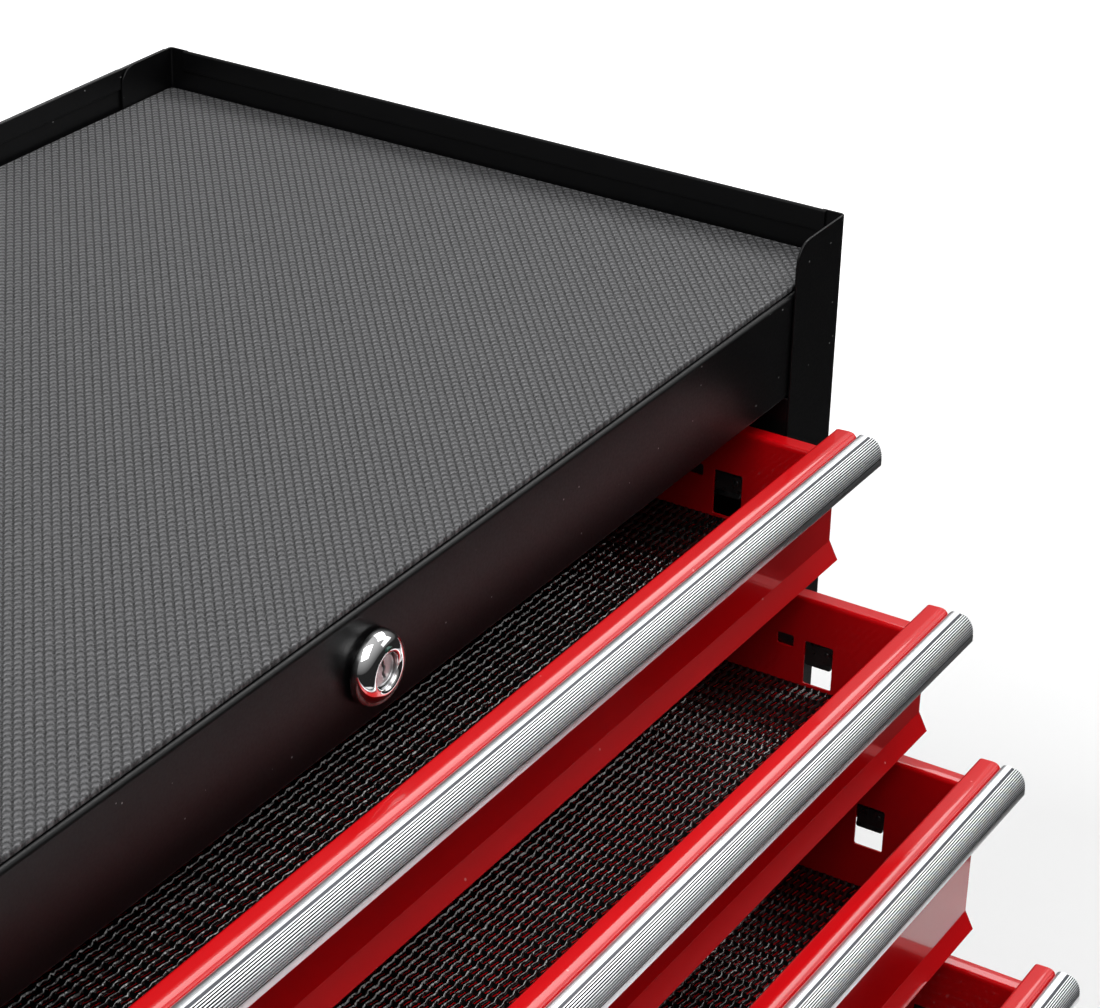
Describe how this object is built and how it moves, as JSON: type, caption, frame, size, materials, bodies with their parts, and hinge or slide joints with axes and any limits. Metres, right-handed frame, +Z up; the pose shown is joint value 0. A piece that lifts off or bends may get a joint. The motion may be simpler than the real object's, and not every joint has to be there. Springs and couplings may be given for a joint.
{
  "type": "rolling tool chest",
  "caption": "Sheet-steel tool cabinet on casters with pull-out drawers on ball slides, a matted top tray, a central lock that drops a lock bar, and a side push handle.",
  "frame": {"origin": "on the floor under the middle of the bounding box, with the drawers as they stand", "axes": "+Z up, -Y out of the front with the drawers, +X to the right seen from the front"},
  "size_m": [0.708, 0.5332, 0.7266],
  "materials": {
    "cabinet_black_paint": "satin powder coat",
    "drawer_red_paint": "gloss powder coat",
    "pull_aluminium": "satin anodised, with fine grooves",
    "slide_steel": "black zinc",
    "liner_plastic": "soft open mesh",
    "mat_rubber": "fine diamond mesh",
    "lock_chrome": "polished",
    "zinc_steel": "bright zinc",
    "wheel_rubber": "matt",
    "bracket_plastic": "fine grain"
  },
  "bodies": {
    "cabinet": {"side_panel_left": "cabinet_black_paint", "side_panel_right": "cabinet_black_paint", "back_panel": "cabinet_black_paint", "top_panel": "cabinet_black_paint", "base_panel": "cabinet_black_paint", "top_mat": "mat_rubber", "slide_rack_left": "slide_steel", "slide_rack_right": "slide_steel", "lock_housing": "lock_chrome", "push_handle_bracket_front": "bracket_plastic", "push_handle_bracket_back": "bracket_plastic", "push_handle_tube": "cabinet_black_paint", "caster_plate_front_left": "zinc_steel", "caster_plate_back_left": "zinc_steel", "caster_plate_front_right": "zinc_steel", "caster_plate_back_right": "zinc_steel", "caster_yoke_front_right": "zinc_steel", "caster_yoke_back_right": "zinc_steel"},
    "drawer_1": {"drawer_1_box": "drawer_red_paint", "drawer_1_pull": "pull_aluminium", "drawer_1_liner": "liner_plastic", "drawer_1_slide_left": "slide_steel", "drawer_1_slide_right": "slide_steel"},
    "drawer_2": {"drawer_2_box": "drawer_red_paint", "drawer_2_pull": "pull_aluminium", "drawer_2_liner": "liner_plastic", "drawer_2_slide_left": "slide_steel", "drawer_2_slide_right": "slide_steel"},
    "drawer_3": {"drawer_3_box": "drawer_red_paint", "drawer_3_pull": "pull_aluminium", "drawer_3_liner": "liner_plastic", "drawer_3_slide_left": "slide_steel", "drawer_3_slide_right": "slide_steel"},
    "drawer_4": {"drawer_4_box": "drawer_red_paint", "drawer_4_pull": "pull_aluminium", "drawer_4_liner": "liner_plastic", "drawer_4_slide_left": "slide_steel", "drawer_4_slide_right": "slide_steel"},
    "drawer_5": {"drawer_5_box": "drawer_red_paint", "drawer_5_pull": "pull_aluminium", "drawer_5_liner": "liner_plastic", "drawer_5_slide_left": "slide_steel", "drawer_5_slide_right": "slide_steel"},
    "drawer_6": {"drawer_6_box": "drawer_red_paint", "drawer_6_pull": "pull_aluminium", "drawer_6_liner": "liner_plastic", "drawer_6_slide_left": "slide_steel", "drawer_6_slide_right": "slide_steel"},
    "lock_plug_and_shaft": {"lock_plug": "lock_chrome", "lock_shaft": "zinc_steel"},
    "lock_bar": {"lock_bar": "slide_steel"},
    "caster_swivel_front_left": {"caster_yoke_front_left": "zinc_steel"},
    "caster_brake_front_left": {"caster_brake_front_left": "bracket_plastic"},
    "caster_swivel_back_left": {"caster_yoke_back_left": "zinc_steel"},
    "caster_brake_back_left": {"caster_brake_back_left": "bracket_plastic"},
    "caster_wheel_front_left": {"caster_wheel_front_left": "wheel_rubber"},
    "caster_wheel_back_left": {"caster_wheel_back_left": "wheel_rubber"},
    "caster_wheel_front_right": {"caster_wheel_front_right": "wheel_rubber"},
    "caster_wheel_back_right": {"caster_wheel_back_right": "wheel_rubber"}
  },
  "joints": [
    {"name": "drawer_1_slide", "type": "slide", "parent": "cabinet", "child": "drawer_1", "axis": [0, -1, 0], "range_m": [-0.0223, 0.2027]},
    {"name": "drawer_2_slide", "type": "slide", "parent": "cabinet", "child": "drawer_2", "axis": [0, -1, 0], "range_m": [-0.0665, 0.1585]},
    {"name": "drawer_3_slide", "type": "slide", "parent": "cabinet", "child": "drawer_3", "axis": [0, -1, 0], "range_m": [-0.0944, 0.1306]},
    {"name": "drawer_4_slide", "type": "slide", "parent": "cabinet", "child": "drawer_4", "axis": [0, -1, 0], "range_m": [-0.1269, 0.0981]},
    {"name": "drawer_5_slide", "type": "slide", "parent": "cabinet", "child": "drawer_5", "axis": [0, -1, 0], "range_m": [-0.156, 0.069]},
    {"name": "drawer_6_slide", "type": "slide", "parent": "cabinet", "child": "drawer_6", "axis": [0, -1, 0], "range_m": [-0.184, 0.041]},
    {"name": "lock_turn", "type": "hinge", "parent": "cabinet", "child": "lock_plug_and_shaft", "pos_m": [0.034, -0.06335, 0.684], "axis": [0, 1, 0], "range_deg": [0, 90]},
    {"name": "lock_bar_slide", "type": "slide", "parent": "cabinet", "child": "lock_bar", "axis": [0, 0, -1], "range_m": [0, 0.01131]},
    {"name": "swivel_front_left", "type": "hinge", "parent": "cabinet", "child": "caster_swivel_front_left", "pos_m": [-0.228, -0.01735, 0.095], "axis": [0, 0, 1], "continuous": true},
    {"name": "brake_front_left", "type": "hinge", "parent": "caster_swivel_front_left", "child": "caster_brake_front_left", "pos_m": [-0.236, -0.01735, 0.081], "axis": [0, -1, 0], "range_deg": [0, 9]},
    {"name": "swivel_back_left", "type": "hinge", "parent": "cabinet", "child": "caster_swivel_back_left", "pos_m": [-0.228, 0.22065, 0.095], "axis": [0, 0, 1], "continuous": true},
    {"name": "brake_back_left", "type": "hinge", "parent": "caster_swivel_back_left", "child": "caster_brake_back_left", "pos_m": [-0.236, 0.22065, 0.081], "axis": [0, -1, 0], "range_deg": [0, 9]},
    {"name": "wheel_front_left", "type": "hinge", "parent": "caster_swivel_front_left", "child": "caster_wheel_front_left", "pos_m": [-0.25, -0.01735, 0.0375], "axis": [0, 1, 0], "continuous": true},
    {"name": "wheel_back_left", "type": "hinge", "parent": "caster_swivel_back_left", "child": "caster_wheel_back_left", "pos_m": [-0.25, 0.22065, 0.0375], "axis": [0, 1, 0], "continuous": true},
    {"name": "wheel_front_right", "type": "hinge", "parent": "cabinet", "child": "caster_wheel_front_right", "pos_m": [0.296, -0.01735, 0.0375], "axis": [0, 1, 0], "continuous": true},
    {"name": "wheel_back_right", "type": "hinge", "parent": "cabinet", "child": "caster_wheel_back_right", "pos_m": [0.296, 0.22065, 0.0375], "axis": [0, 1, 0], "continuous": true}
  ],
  "couplings": [
    {"joint": "lock_turn", "follows": "lock_bar_slide", "rad_per_m": 138.8}
  ]
}
